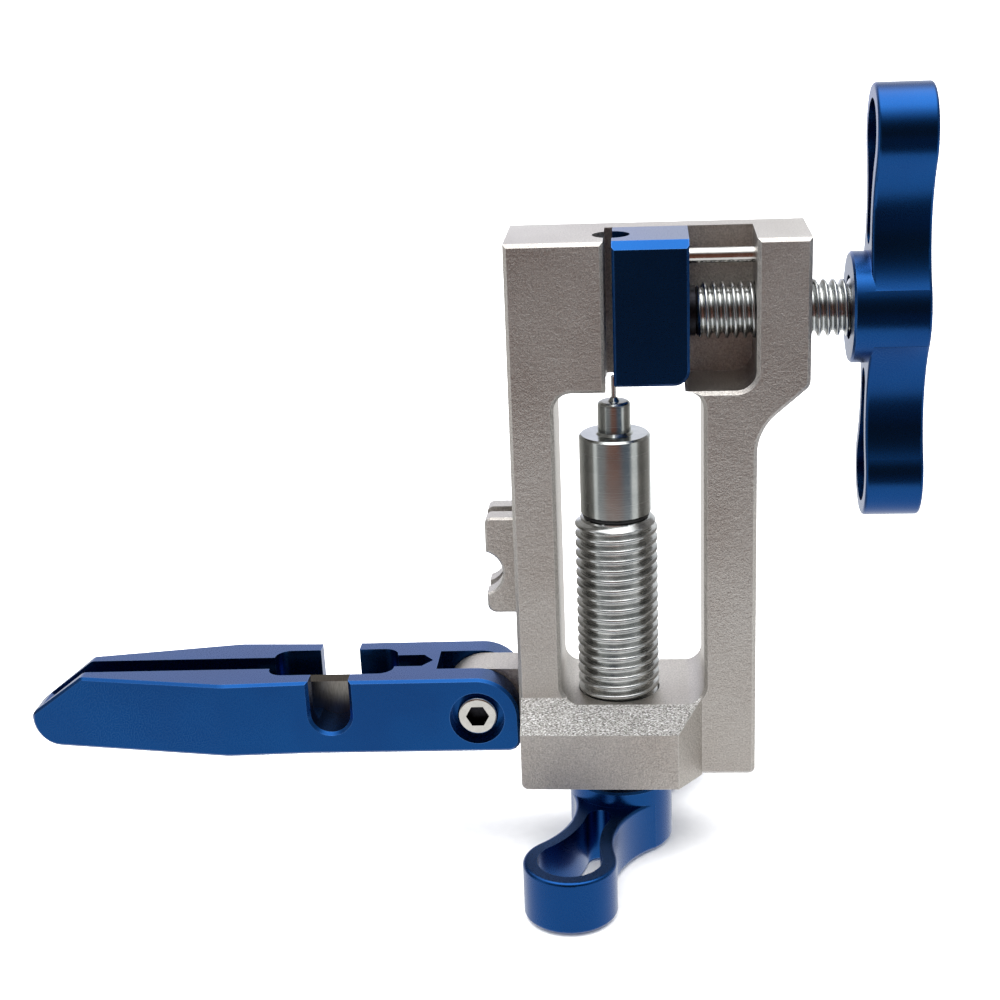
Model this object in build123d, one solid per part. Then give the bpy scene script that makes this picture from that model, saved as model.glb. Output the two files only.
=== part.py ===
from build123d import *
import os

# Hydraulic brake-hose cutter and barb press, in millimetres.
# X to the right, Y to the back, Z up. The origin is the mouth of the hose clamp bore in the
# top face of the frame, on the axis that the press screw, the pusher and the hose share.

# ---- frame ----
FRONT = -6.0                 # front face of the frame
BACK = 10.0                  # back face of the frame
LEFT = -14.5                 # left side, next to the cutter arm
RIGHT = 26.9                 # right side of the clamp block
LEG_RIGHT = 19.75            # right side of the right leg
BASE = -79.0                 # underside
SHOULDER = -20.4             # where the clamp block turns in towards the leg
SHOULDER_END = -26.6
SHOULDER_R = 1.6
INNER_SHOULDER_R = 7.5
FOOT_R = 1.0
FACE_CHAMFER = 0.5
WINDOW_LEFT = -8.26
WINDOW_RIGHT = 12.4
WINDOW_TOP = -20.9
FLOOR = -67.3                # top of the base, inside the window
WINDOW_R = 2.5
CHANNEL_LEFT = -1.0          # gripping face of the fixed block
CHANNEL_RIGHT = 19.6
CHANNEL_BACK = 5.67
CHANNEL_R = 2.8
FLANGE_FRONT = -10.72        # the base stands out in front
FLANGE_LEFT = -14.2
FLANGE_TOP = -70.36
RAMP_TOP = -66.6
FLANGE_RIGHT = 8.57          # the right end of the flange is cut off at an angle
FLANGE_RIGHT_BACK = 12.07

# ---- hose clamp ----
HOSE_R = 2.6
SINK = 1.2                   # countersink at the bottom of the hose bore
JAW_LEFT = 0.15
JAW_RIGHT = 10.55
JAW_BACK = 5.6
JAW_BOTTOM = -20.05
JAW_CORNER_R = 2.2
JAW_TOP_CHAMFER = 1.1
CLAMP_Z = -10.8              # axis of the clamp screw
CLAMP_MAJOR_R = 3.93         # M8 x 1.25
CLAMP_PITCH = 1.25
CLAMP_THREAD_START = 11.45
CLAMP_THREAD_END = 33.4
JOURNAL_R = 2.75
JOURNAL_TIP = 4.2
GROOVE_R = 2.0
GROOVE_X = 6.6
WASHER_R = 3.5
SPIGOT_R = 3.0               # the end of each screw that sits in its knob
CLAMP_SPIGOT_END = 41.5
GUIDE_Z = -3.16
GUIDE_R = 1.07
GUIDE_START = 4.2
GUIDE_END = 25.4

# ---- press ----
PRESS_MAJOR_R = 5.95         # M12 x 1.5
PRESS_PITCH = 1.5
PRESS_TOP = -40.45
PRESS_THREAD_END = -82.1
PRESS_SPIGOT_END = -90.7
PUSHER_R = 5.07
PUSHER_BOTTOM = -39.85
PUSHER_TOP = -28.2
NOSE_R = 2.35
NOSE_TOP = -23.5
NOSE_EDGE_R = 0.55
NOSE_FOOT = 0.35             # bevel where the nose meets the body
BOSS_R = 0.85                # small cone round the foot of the barb pin
BOSS_TALL = 0.5
STEM_R = 2.6                 # the pusher's stem turns in the screw's blind bore
STEM_END = -48.5
STEM_GROOVE = -46.2
BARB_R = 0.35
BARB_TIP = -19.8

# ---- wing knobs ----
HUB_R = 7.64
LOBE_R = 6.6
LOBE_AT = 23.6               # lobe centre from the knob's axis
WING_THICK = 7.9
HUB_PROUD = 2.35
WAIST = 3.7                  # half width between hub and lobe
WALL = 2.0                   # wall round the finger hole
CLAMP_RECESS_R = 4.4         # recess in the hub face, round the screw
PRESS_RECESS_R = 6.2
RECESS_DEEP = 1.5
SET_SCREW_DOWN = 6.0         # the knob's set screw, below the hub face
SPIGOT_HOLE = 9.35
HOLE_START = 10.6            # centre of the finger hole's small end
RIM = 0.5
CLAMP_KNOB_X = 32.35         # hub face of the clamp knob
CLAMP_KNOB_TURN = 3.0
PRESS_KNOB_Z = -81.35        # hub face of the press knob
PRESS_KNOB_TURN = 197.0      # half a turn on, so that its set screw is at the back
SET_SCREW_R = 1.5            # M3 grub screw

# ---- cutter ----
CUT_Y = 1.8                  # the blade's plane: centre of arm, anvil and lug
PIVOT_X = -20.85
PIVOT_Z = -70.05
ANVIL_LEFT = -18.85
ANVIL_TOP = -40.0
ANVIL_BOTTOM = -54.6
ANVIL_THICK = 8.4
ANVIL_SLOT = 2.3
NOTCH_X = -19.75
NOTCH_Z = -48.4
NOTCH_R = 3.3
LUG_R = 6.0
LUG_X = -20.25               # centre of the lug's round end
LUG_THICK = 6.0
END_R = 6.25                 # round end of the arm, tangent to its top
ARM_BOTTOM = -75.5
ARM_TIP = -90.0
ARM_HALF = 7.4               # half widths of the arm, seen from above
SWELL_HALF = 8.0
TIP_HALF = 2.5
ARM_EVEN_TO = -46.0
SWELL_AT = -58.6
ARM_DROOP = 0.9              # degrees that the open arm hangs below level
CLEVIS_GAP = 6.6
CLEVIS_END = -26.95
NARROW_SLOT = 4.2
NARROW_FLOOR = -69.0
NARROW_END = -29.3
NARROW_POINT = -27.75
POCKET_LEFT = -52.4
POCKET_RIGHT = -33.4
POCKET_WIDE = 9.2
POCKET_FLOOR = -71.0
POCKET_R = 2.3
HOSE_NOTCH_X = -42.7
HOSE_NOTCH_Z = -69.05
HOSE_NOTCH_R = 3.0
HOSE_NOTCH_CHAMFER = 0.45
BLADE_THICK = 1.2
BLADE_LEFT = -55.5
BLADE_RIGHT = -32.0
BLADE_EDGE = -65.85
BLADE_BOTTOM = -73.0
BEVEL = 0.85
BLADE_SCREW_XS = (-54.0, -33.4)
BLADE_SCREW_Z = -71.6
SHANK_R = 2.0                # M4 pivot bolt
HEAD_R = 3.0
HEAD_TALL = 2.1
SINK_R = 4.05
SINK_DEEP = 2.8
HEX_KEY = 3.0
SOCKET_DEEP = 1.9
NUT_FLATS = 7.0
NUT_TALL = 2.2
PIVOT_WASHER_R = 3.9
PIVOT_WASHER_THICK = 0.27

GAP = 0.05                   # radial clearance of a running fit
SMALL = 0.3                  # edge break
PAST = 10.0                  # how far a cut runs on past the piece


def side_plate(points, radii, y_low, y_high):
    """A plate with an outline in X and Z, between two values of Y."""
    outline = FilletPolyline(*[(x, z) for x, z in points], radius=radii, close=True)
    return extrude(Plane.XZ.offset(-y_high) * make_face(outline), amount=y_high - y_low)


def block(x_low, x_high, y_low, y_high, z_low, z_high):
    """A box given by its corners."""
    size = (x_high - x_low, y_high - y_low, z_high - z_low)
    centre = ((x_low + x_high) / 2, (y_low + y_high) / 2, (z_low + z_high) / 2)
    return Pos(*centre) * Box(*size)


def rectangle(x_low, x_high, z_low, z_high):
    """The corners of an upright rectangle, from the lower left, anticlockwise."""
    return [(x_low, z_low), (x_high, z_low), (x_high, z_high), (x_low, z_high)]


def rod_x(radius, x_low, x_high, y, z):
    """A round bar along X."""
    return Pos((x_low + x_high) / 2, y, z) * Rot(0, 90, 0) * Cylinder(radius, x_high - x_low)


def rod_y(radius, y_low, y_high, x, z):
    """A round bar along Y."""
    return Pos(x, (y_low + y_high) / 2, z) * Rot(90, 0, 0) * Cylinder(radius, y_high - y_low)


def rod_z(radius, z_low, z_high, x=0.0, y=0.0):
    """A round bar along Z."""
    return Pos(x, y, (z_low + z_high) / 2) * Cylinder(radius, z_high - z_low)


def hex_bar(across_flats, height):
    """A hexagonal bar on its own Z axis, from 0 up."""
    return extrude(RegularPolygon(across_flats / 2, 6, major_radius=False), amount=height)


def threaded_bar(major, pitch, z_low, z_high):
    """A turned bar with one ring for each crest of its thread, along Z."""
    depth = 0.6 * pitch
    count = int((z_high - z_low - pitch) / pitch)
    start = z_high - pitch / 2
    points = [(0, z_high), (major - depth, z_high), (major - depth, start)]
    for i in range(count):
        top = start - i * pitch
        points += [(major, top - 0.4 * pitch), (major, top - 0.6 * pitch)]
        points.append((major - depth, top - pitch))
    points += [(major - depth, z_low), (0, z_low)]
    return revolve(Plane.XZ * make_face(Polyline(*points, close=True)), Axis.Z)


def grub_screw(length):
    """An M3 set screw on its own Z axis, from 0 up, with its hex socket at the top."""
    body = rod_z(SET_SCREW_R, 0, length)
    return body - Pos(0, 0, length - 1.4) * hex_bar(1.5, 2.0)


def chamfer_faces(plate, size):
    """Breaks every edge of a plate's front and back faces."""
    faces = plate.faces().sort_by(Axis.Y)
    return chamfer(faces[0].edges() + faces[-1].edges(), size)


def window_cut():
    """The window through the frame, above the base."""
    window = rectangle(WINDOW_LEFT, WINDOW_RIGHT, FLOOR, WINDOW_TOP)
    return side_plate(window, WINDOW_R, FRONT - PAST, BACK + PAST)


def frame_plate():
    """The plate that the frame is milled from, with its window and the jaw's channel."""
    top_to_shoulder = [(LEFT, 0), (RIGHT, 0), (RIGHT, SHOULDER), (LEG_RIGHT, SHOULDER_END)]
    outline = top_to_shoulder + [(LEG_RIGHT, BASE), (LEFT, BASE)]
    plate = side_plate(outline, [0, 0, SHOULDER_R, INNER_SHOULDER_R, FOOT_R, FOOT_R], FRONT, BACK)
    channel = rectangle(CHANNEL_LEFT, CHANNEL_RIGHT, WINDOW_TOP, PAST)
    plate -= window_cut() + side_plate(channel, [0, CHANNEL_R, 0, 0], FRONT - PAST, CHANNEL_BACK)
    return chamfer_faces(plate, FACE_CHAMFER)


def base_flange():
    """The part of the base in front of the frame, with its sloping top and angled right end."""
    ramp = [(FRONT + 1, RAMP_TOP), (FRONT, RAMP_TOP), (FLANGE_FRONT, FLANGE_TOP)]
    section = Polyline(*ramp, (FLANGE_FRONT, BASE), (FRONT + 1, BASE), close=True)
    wide = FLANGE_RIGHT_BACK - FLANGE_LEFT
    flange = extrude(Plane.YZ.offset(FLANGE_LEFT) * make_face(section), amount=wide)
    past = FLANGE_FRONT - PAST
    angled = [(FLANGE_RIGHT_BACK, FRONT), (FLANGE_RIGHT, FLANGE_FRONT), (FLANGE_RIGHT, past)]
    end = Polyline(*angled, (RIGHT, past), (RIGHT, FRONT), close=True)
    flange -= Pos(0, 0, BASE - PAST) * extrude(make_face(end), amount=3 * PAST)
    corner = flange.edges().filter_by(Axis.Y).group_by(Axis.X)[0].sort_by(Axis.Z)[0]
    return fillet(corner, FOOT_R) - window_cut()


def anvil():
    """Two cheeks with the blade's slot between them and a round notch for the hose."""
    outline = rectangle(ANVIL_LEFT, LEFT + 1, ANVIL_BOTTOM, ANVIL_TOP)
    half = ANVIL_THICK / 2
    cheeks = side_plate(outline, [1.3, 0, 0, 1.0], CUT_Y - half, CUT_Y + half)
    cheeks -= rod_y(NOTCH_R, CUT_Y - PAST, CUT_Y + PAST, NOTCH_X, NOTCH_Z)
    cheeks = chamfer_faces(cheeks, SMALL)
    half = ANVIL_SLOT / 2
    low = ANVIL_BOTTOM - PAST
    high = ANVIL_TOP + PAST
    return cheeks - block(ANVIL_LEFT - PAST, LEFT, CUT_Y - half, CUT_Y + half, low, high)


def hinge_lug():
    """The lug that the cutter arm turns on."""
    half = LUG_THICK / 2
    lug = rod_y(LUG_R, CUT_Y - half, CUT_Y + half, LUG_X, PIVOT_Z)
    return lug + block(LUG_X, LEFT + 1, CUT_Y - half, CUT_Y + half, PIVOT_Z - LUG_R, PIVOT_Z + LUG_R)


def hose_bore():
    """The bore that the hose lies in, with the countersink that the barb enters by."""
    mouth = Pos(0, 0, WINDOW_TOP + SINK / 2) * Cone(HOSE_R + SINK, HOSE_R, SINK)
    return rod_z(HOSE_R, WINDOW_TOP - 1, 5) + mouth


def frame_body():
    """The milled aluminium frame: clamp blocks, back plate, legs, base, anvil and lug."""
    body = frame_plate() + base_flange() + anvil() + hinge_lug()
    body -= hose_bore()
    body -= rod_z(PRESS_MAJOR_R + GAP, BASE - 5, FLOOR + 1)
    body -= rod_x(CLAMP_MAJOR_R + GAP, CHANNEL_RIGHT - 3, RIGHT + 5, 0, CLAMP_Z)
    body -= rod_x(GUIDE_R + GAP / 2, CHANNEL_RIGHT - 3, RIGHT + 5, 0, GUIDE_Z)
    body -= rod_y(SHANK_R + GAP / 2, CUT_Y - 5, CUT_Y + 5, PIVOT_X, PIVOT_Z)
    return body


def clamp_jaw():
    """The sliding jaw, with its half of the hose bore."""
    outline = rectangle(JAW_LEFT, JAW_RIGHT, JAW_BOTTOM, 0)
    jaw = side_plate(outline, [0.4, JAW_CORNER_R, 0, 0], FRONT, JAW_BACK)
    front = jaw.faces().sort_by(Axis.Y)[0].edges()
    top = front.sort_by(Axis.Z)[-1]
    jaw = chamfer([e for e in front if e != top], 0.35)
    top = jaw.faces().sort_by(Axis.Z)[-1].edges().sort_by(Axis.Y)[0]
    jaw = chamfer(top, JAW_TOP_CHAMFER)
    jaw -= hose_bore()
    jaw -= rod_x(JOURNAL_R + GAP, JOURNAL_TIP - 0.2, JAW_RIGHT + 1, 0, CLAMP_Z)
    jaw -= rod_x(GUIDE_R, GUIDE_START, JAW_RIGHT + 1, 0, GUIDE_Z)
    return jaw - rod_z(SET_SCREW_R + 0.02, JAW_BOTTOM - 1, CLAMP_Z, GROOVE_X, 0)


def jaw_guide_pin():
    """Ground pin, pressed into the jaw, that slides in the right block."""
    pin = rod_x(GUIDE_R, GUIDE_START, GUIDE_END, 0, GUIDE_Z)
    return chamfer(pin.faces().sort_by(Axis.X)[-1].edges(), 0.25)


def jaw_retaining_screw():
    """Grub screw in the jaw whose point runs in the clamp screw's groove."""
    base = JAW_BOTTOM + 0.6
    length = CLAMP_Z - JOURNAL_R - 0.1 - base
    body = rod_z(SET_SCREW_R, base, base + length) + rod_z(0.7, base + 1, CLAMP_Z - GROOVE_R - 0.1, 0, 0)
    return Pos(GROOVE_X, 0, 0) * (body - Pos(0, 0, base - 1) * hex_bar(1.5, 2.4))


def clamp_screw():
    """M8 clamp screw: journal with a groove, thread, and the spigot that holds the knob."""
    thread = threaded_bar(CLAMP_MAJOR_R, CLAMP_PITCH, 0, CLAMP_THREAD_END - CLAMP_THREAD_START)
    screw = Pos(CLAMP_THREAD_END, 0, CLAMP_Z) * Rot(0, -90, 0) * thread
    screw += rod_x(JOURNAL_R, JOURNAL_TIP, CLAMP_THREAD_START + 1, 0, CLAMP_Z)
    screw += rod_x(SPIGOT_R, CLAMP_THREAD_END - 1, CLAMP_SPIGOT_END, 0, CLAMP_Z)
    ring = rod_x(JOURNAL_R + 1, GROOVE_X - 0.8, GROOVE_X + 0.8, 0, CLAMP_Z)
    return screw - (ring - rod_x(GROOVE_R, GROOVE_X - 1, GROOVE_X + 1, 0, CLAMP_Z))


def clamp_thrust_washer():
    """Hardened washer between the jaw and the screw's shoulder."""
    washer = rod_x(WASHER_R, JAW_RIGHT + 0.02, CLAMP_THREAD_START - 0.02, 0, CLAMP_Z)
    return washer - rod_x(JOURNAL_R + GAP, JAW_RIGHT - 1, CLAMP_THREAD_START + 1, 0, CLAMP_Z)


def press_screw():
    """M12 press screw, bored at the top for the pusher's stem."""
    thread = threaded_bar(PRESS_MAJOR_R, PRESS_PITCH, PRESS_THREAD_END, PRESS_TOP)
    screw = thread + rod_z(SPIGOT_R, PRESS_SPIGOT_END, PRESS_THREAD_END + 1)
    screw -= rod_z(STEM_R + GAP, STEM_END - 0.6, PRESS_TOP + 1)
    return screw - rod_z(STEM_R + 0.7, STEM_GROOVE - 0.4, STEM_GROOVE + 0.4)


def press_pusher():
    """Turned pusher: nose, body, and the stem that stays still while the screw turns."""
    body = rod_z(PUSHER_R, PUSHER_BOTTOM, PUSHER_TOP)
    body = chamfer(body.faces().sort_by(Axis.Z)[-1].edges(), SMALL)
    body = chamfer(body.faces().sort_by(Axis.Z)[0].edges(), SMALL / 2)
    nose = rod_z(NOSE_R, PUSHER_TOP - 1, NOSE_TOP)
    nose = fillet(nose.faces().sort_by(Axis.Z)[-1].edges(), NOSE_EDGE_R)
    foot = Pos(0, 0, PUSHER_TOP + NOSE_FOOT / 2) * Cone(NOSE_R + NOSE_FOOT, NOSE_R, NOSE_FOOT)
    boss = Pos(0, 0, NOSE_TOP + BOSS_TALL / 2) * Cone(BOSS_R, BARB_R + SMALL / 2, BOSS_TALL)
    stem = rod_z(STEM_R, STEM_END, PUSHER_BOTTOM + 1)
    groove = rod_z(STEM_R + 1, STEM_GROOVE - 0.4, STEM_GROOVE + 0.4)
    groove -= rod_z(STEM_R - 0.5, STEM_GROOVE - 1, STEM_GROOVE + 1)
    return body + nose + foot + boss + stem - groove - rod_z(BARB_R, NOSE_TOP - 4, NOSE_TOP + 1)


def barb_pin():
    """Thin centring pin that enters the hose and carries the barb."""
    pin = rod_z(BARB_R, NOSE_TOP - 4, BARB_TIP)
    return chamfer(pin.faces().sort_by(Axis.Z)[-1].edges(), 0.12)


def pusher_snap_ring():
    """Split ring that lets the screw pull the pusher back down."""
    ring = rod_z(STEM_R + 0.6, STEM_GROOVE - 0.3, STEM_GROOVE + 0.3)
    ring -= rod_z(STEM_R - 0.4, STEM_GROOVE - 1, STEM_GROOVE + 1)
    return ring - block(0, 6, -0.6, 0.6, STEM_GROOVE - 1, STEM_GROOVE + 1)


def pusher_seal():
    """Rubber ring between the pusher and the screw."""
    middle = (PUSHER_BOTTOM + PRESS_TOP) / 2
    radius = (PUSHER_BOTTOM - PRESS_TOP) / 2 - 0.02
    return Pos(0, 0, middle) * Torus(4.55, radius)


def waist_arc():
    """Centre and radius of the hollow in the wing's side, tangent to hub and lobe."""
    shift = (LOBE_AT ** 2 + HUB_R ** 2 - LOBE_R ** 2) / (2 * LOBE_AT)
    slope = (HUB_R - LOBE_R) / LOBE_AT
    middle = shift * slope + WAIST - HUB_R
    rest = shift ** 2 + WAIST ** 2 - HUB_R ** 2
    radius = (-middle - (middle ** 2 - slope ** 2 * rest) ** 0.5) / slope ** 2
    return shift + slope * radius, WAIST + radius, radius


def neck(start, half, wall):
    """The strip from a start to the lobe, hollowed on both sides; wall narrows it all round."""
    centre_u, centre_v, radius = waist_arc()
    tangent = LOBE_AT - half * (LOBE_AT - centre_u) / (half + radius + wall)
    strip = block(start, tangent, -half, half, 0, WING_THICK)
    for side in (-1, 1):
        strip -= rod_z(radius + wall, -1, WING_THICK + 1, centre_u, side * centre_v)
    return strip


def wing_knob(recess_radius):
    """Two-lobed knob on its own Z axis: hub face at 0, wing below it, lobes along X."""
    wing = rod_z(HUB_R, 0, WING_THICK)
    for turn in (0, 180):
        lobe = neck(0, LOBE_R, 0) + rod_z(LOBE_R, 0, WING_THICK, LOBE_AT)
        wing += Rot(0, 0, turn) * lobe
    wing = fillet(wing.faces().sort_by(Axis.Z)[0].edges() + wing.faces().sort_by(Axis.Z)[-1].edges(), RIM)
    centre_u, centre_v, radius = waist_arc()
    small_end = centre_v - ((radius + WALL) ** 2 - (centre_u - HOLE_START) ** 2) ** 0.5
    for turn in (0, 180):
        hole = neck(HOLE_START, LOBE_R - WALL, WALL) + rod_z(small_end, 0, WING_THICK, HOLE_START)
        wing -= Rot(0, 0, turn) * (hole + rod_z(LOBE_R - WALL, 0, WING_THICK, LOBE_AT))
    knob = Pos(0, 0, -HUB_PROUD - WING_THICK) * wing
    hub = rod_z(HUB_R, -HUB_PROUD - 1, 0)
    knob += chamfer(hub.faces().sort_by(Axis.Z)[-1].edges(), SMALL)
    knob -= rod_z(SPIGOT_R + 0.03, -SPIGOT_HOLE, 1)
    knob -= rod_z(recess_radius, -RECESS_DEEP, 1)
    return knob - Pos(0, 0, -SET_SCREW_DOWN) * rod_y(SET_SCREW_R + 0.02, 0, 20, 0, 0)


def knob_set_screw():
    """Grub screw of a knob, in the knob's own frame."""
    return Pos(0, SPIGOT_R + 0.02, -SET_SCREW_DOWN) * Rot(-90, 0, 0) * grub_screw(HUB_R - SPIGOT_R - 0.5)


def on_clamp(piece):
    """Moves a knob piece to the clamp screw, hub face to the left, lobes up and down."""
    return Pos(CLAMP_KNOB_X, 0, CLAMP_Z) * Rot(CLAMP_KNOB_TURN, 0, 0) * Rot(0, -90, 0) * piece


def on_press(piece):
    """Moves a knob piece to the press screw, hub face up, one lobe to the front."""
    return Pos(0, 0, PRESS_KNOB_Z) * Rot(0, 0, -90 - PRESS_KNOB_TURN) * piece


def droop(piece):
    """Lets a piece of the arm hang at the open arm's angle."""
    return Pos(PIVOT_X, 0, PIVOT_Z) * Rot(0, -ARM_DROOP, 0) * Pos(-PIVOT_X, 0, -PIVOT_Z) * piece


def arm_blank():
    """The arm's outside: its side profile crossed with its outline from above."""
    top = PIVOT_Z + END_R
    right = PIVOT_X + END_R
    side = [(right, top), (right, ARM_BOTTOM), (ARM_TIP, ARM_BOTTOM), (ARM_TIP, -70.3), (-81.1, top)]
    profile = side_plate(side, [END_R - 0.01, 1.9, 4.2, 1.6, 1.2], CUT_Y - 12, CUT_Y + 12)
    half = [(ARM_TIP - 1, TIP_HALF), (SWELL_AT, SWELL_HALF), (ARM_EVEN_TO, ARM_HALF)]
    half.append((right + 1, ARM_HALF))
    plan = [(x, CUT_Y + w) for x, w in half] + [(x, CUT_Y - w) for x, w in reversed(half)]
    outline = FilletPolyline(*plan, radius=[0.5, 6, 12, 0, 0, 12, 6, 0.5], close=True)
    return profile & Pos(0, 0, ARM_BOTTOM - 2) * extrude(make_face(outline), amount=30)


def arm_slots():
    """Everything milled from the arm's top: blade slot, blade seat, anvil pocket, hose notch."""
    half = NARROW_SLOT / 2
    past = ARM_TIP - PAST
    point = [(NARROW_END, -half), (NARROW_POINT, 0), (NARROW_END, half)]
    slot = extrude(make_face(Polyline((past, -half), *point, (past, half), close=True)), amount=20)
    cuts = Pos(0, CUT_Y, NARROW_FLOOR) * slot
    above = PIVOT_Z + END_R + PAST
    half = BLADE_THICK / 2 + GAP
    left, right = BLADE_LEFT - 2 * GAP, BLADE_RIGHT + 2 * GAP
    cuts += block(left, right, CUT_Y - half, CUT_Y + half, BLADE_BOTTOM - GAP, above)
    half = POCKET_WIDE / 2
    pocket = block(POCKET_LEFT, POCKET_RIGHT, CUT_Y - half, CUT_Y + half, POCKET_FLOOR, above)
    cuts += fillet(pocket.edges().filter_by(Axis.Z), POCKET_R)
    front, back = CUT_Y - ARM_HALF - PAST, CUT_Y + ARM_HALF + PAST
    left, right = HOSE_NOTCH_X - HOSE_NOTCH_R, HOSE_NOTCH_X + HOSE_NOTCH_R
    cuts += rod_y(HOSE_NOTCH_R, front, back, HOSE_NOTCH_X, HOSE_NOTCH_Z)
    return cuts + block(left, right, front, back, HOSE_NOTCH_Z, above)


def hose_notch_mouths():
    """The chamfer round both ends of the hose notch."""
    start = CUT_Y - ARM_HALF + HOSE_NOTCH_CHAMFER
    notch = Pos(HOSE_NOTCH_X, HOSE_NOTCH_Z) * Circle(HOSE_NOTCH_R)
    notch += Pos(HOSE_NOTCH_X, HOSE_NOTCH_Z + 5) * Rectangle(2 * HOSE_NOTCH_R, 10)
    front = extrude(Plane.XZ.offset(-start) * notch, amount=2 * HOSE_NOTCH_CHAMFER, taper=-45)
    return front + mirror(front, about=Plane.XZ.offset(-CUT_Y))


def arm_hinge_cuts():
    """The clevis gap, the bolt hole and its two counterbores, and the blade screws' holes."""
    gap = CLEVIS_GAP / 2
    cuts = block(CLEVIS_END, -5, CUT_Y - gap, CUT_Y + gap, -100, -50)
    cuts += rod_y(SHANK_R + 0.02, -20, 20, PIVOT_X, PIVOT_Z)
    front = CUT_Y - ARM_HALF
    back = CUT_Y + ARM_HALF
    cuts += rod_y(SINK_R, front - 5, front + SINK_DEEP, PIVOT_X, PIVOT_Z)
    cuts += rod_y(NUT_FLATS * 0.62, back - SINK_DEEP, back + 5, PIVOT_X, PIVOT_Z)
    for x in BLADE_SCREW_XS:
        cuts += rod_y(SET_SCREW_R + 0.02, CUT_Y, CUT_Y + 20, x, BLADE_SCREW_Z)
    return cuts


def cutter_arm():
    """The anodised cutter arm."""
    arm = arm_blank()
    flats = arm.faces().filter_by(Axis.Y)
    sloped = [f for f in arm.faces() if abs(f.normal_at().Y) > 0.9]
    rims = set()
    for face in list(flats) + sloped:
        for edge in face.edges():
            middle = edge.position_at(0.5)
            if abs(edge.tangent_at(0.5).Z) < 0.98 or middle.X < ARM_TIP + 3 or middle.X > PIVOT_X:
                rims.add(edge)
    arm = chamfer(list(rims), 0.4)
    return droop(arm - arm_slots() - arm_hinge_cuts() - hose_notch_mouths())


def cutter_blade():
    """Steel blade, ground to an edge on both faces along its top."""
    half = BLADE_THICK / 2
    shoulder = BLADE_EDGE - BEVEL
    edge = [(-half, shoulder), (0, BLADE_EDGE), (half, shoulder)]
    section = Polyline((-half, BLADE_BOTTOM), *edge, (half, BLADE_BOTTOM), close=True)
    blade = extrude(Plane.YZ.offset(BLADE_LEFT) * make_face(section), amount=BLADE_RIGHT - BLADE_LEFT)
    return droop(Pos(0, CUT_Y, 0) * blade)


def blade_set_screws():
    """Two grub screws that hold the blade in its seat, from the back."""
    start = CUT_Y + BLADE_THICK / 2 + 0.02
    ends = (CUT_Y + SWELL_HALF - 0.9, CUT_Y + ARM_HALF - 0.4)
    screws = []
    for x, end in zip(BLADE_SCREW_XS, ends):
        screws.append(droop(Pos(x, start, BLADE_SCREW_Z) * Rot(-90, 0, 0) * grub_screw(end - start)))
    return Compound(children=screws)


def pivot_bolt():
    """M4 low-head socket screw through clevis and lug."""
    head_face = CUT_Y - ARM_HALF + SINK_DEEP - HEAD_TALL
    seat = CUT_Y - ARM_HALF + SINK_DEEP
    end = CUT_Y + ARM_HALF - 0.4
    head = rod_y(HEAD_R, head_face, seat, PIVOT_X, PIVOT_Z)
    head = fillet(head.faces().sort_by(Axis.Y)[0].edges(), 0.45)
    socket = Pos(PIVOT_X, head_face - 0.5, PIVOT_Z) * Rot(-90, 0, 0) * hex_bar(HEX_KEY, 0.5 + SOCKET_DEEP)
    return droop(head + rod_y(SHANK_R, seat - 0.1, end, PIVOT_X, PIVOT_Z) - socket)


def pivot_nut():
    """Thin lock nut in the arm's back counterbore."""
    seat = CUT_Y + ARM_HALF - SINK_DEEP
    nut = Pos(PIVOT_X, seat, PIVOT_Z) * Rot(-90, 0, 0) * hex_bar(NUT_FLATS, NUT_TALL)
    return droop(nut - rod_y(SHANK_R + 0.01, seat - 1, seat + 5, PIVOT_X, PIVOT_Z))


def pivot_washers():
    """Two thin bronze washers, one each side of the lug."""
    rings = []
    for side in (-1, 1):
        middle = CUT_Y + side * (LUG_THICK + CLEVIS_GAP) / 4
        low = middle - PIVOT_WASHER_THICK / 2
        high = middle + PIVOT_WASHER_THICK / 2
        ring = rod_y(PIVOT_WASHER_R, low, high, PIVOT_X, PIVOT_Z)
        rings.append(ring - rod_y(SHANK_R + 0.03, low - 1, high + 1, PIVOT_X, PIVOT_Z))
    return Compound(children=rings)


PARTS = {
    "frame_body": frame_body(),
    "clamp_jaw": clamp_jaw(),
    "jaw_guide_pin": jaw_guide_pin(),
    "jaw_retaining_screw": jaw_retaining_screw(),
    "clamp_screw": clamp_screw(),
    "clamp_thrust_washer": clamp_thrust_washer(),
    "clamp_knob": on_clamp(wing_knob(CLAMP_RECESS_R)),
    "clamp_knob_set_screw": on_clamp(knob_set_screw()),
    "press_screw": press_screw(),
    "press_pusher": press_pusher(),
    "barb_pin": barb_pin(),
    "pusher_snap_ring": pusher_snap_ring(),
    "pusher_seal": pusher_seal(),
    "press_knob": on_press(wing_knob(PRESS_RECESS_R)),
    "press_knob_set_screw": on_press(knob_set_screw()),
    "cutter_arm": cutter_arm(),
    "cutter_blade": cutter_blade(),
    "blade_set_screws": blade_set_screws(),
    "pivot_bolt": pivot_bolt(),
    "pivot_nut": pivot_nut(),
    "pivot_washers": pivot_washers(),
}

os.makedirs("parts", exist_ok=True)
for name, shape in PARTS.items():
    export_step(shape, f"parts/{name}.step")
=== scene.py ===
"""A bicycle brake-hose cutter and barb press: materials, cut threads, light and camera.

Everything is in metres, in the frame of the design: X right, Y back, Z up, with the origin at the
mouth of the hose clamp's bore.
"""
import math

import bmesh
import bpy
from mathutils import Matrix, Vector


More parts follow.
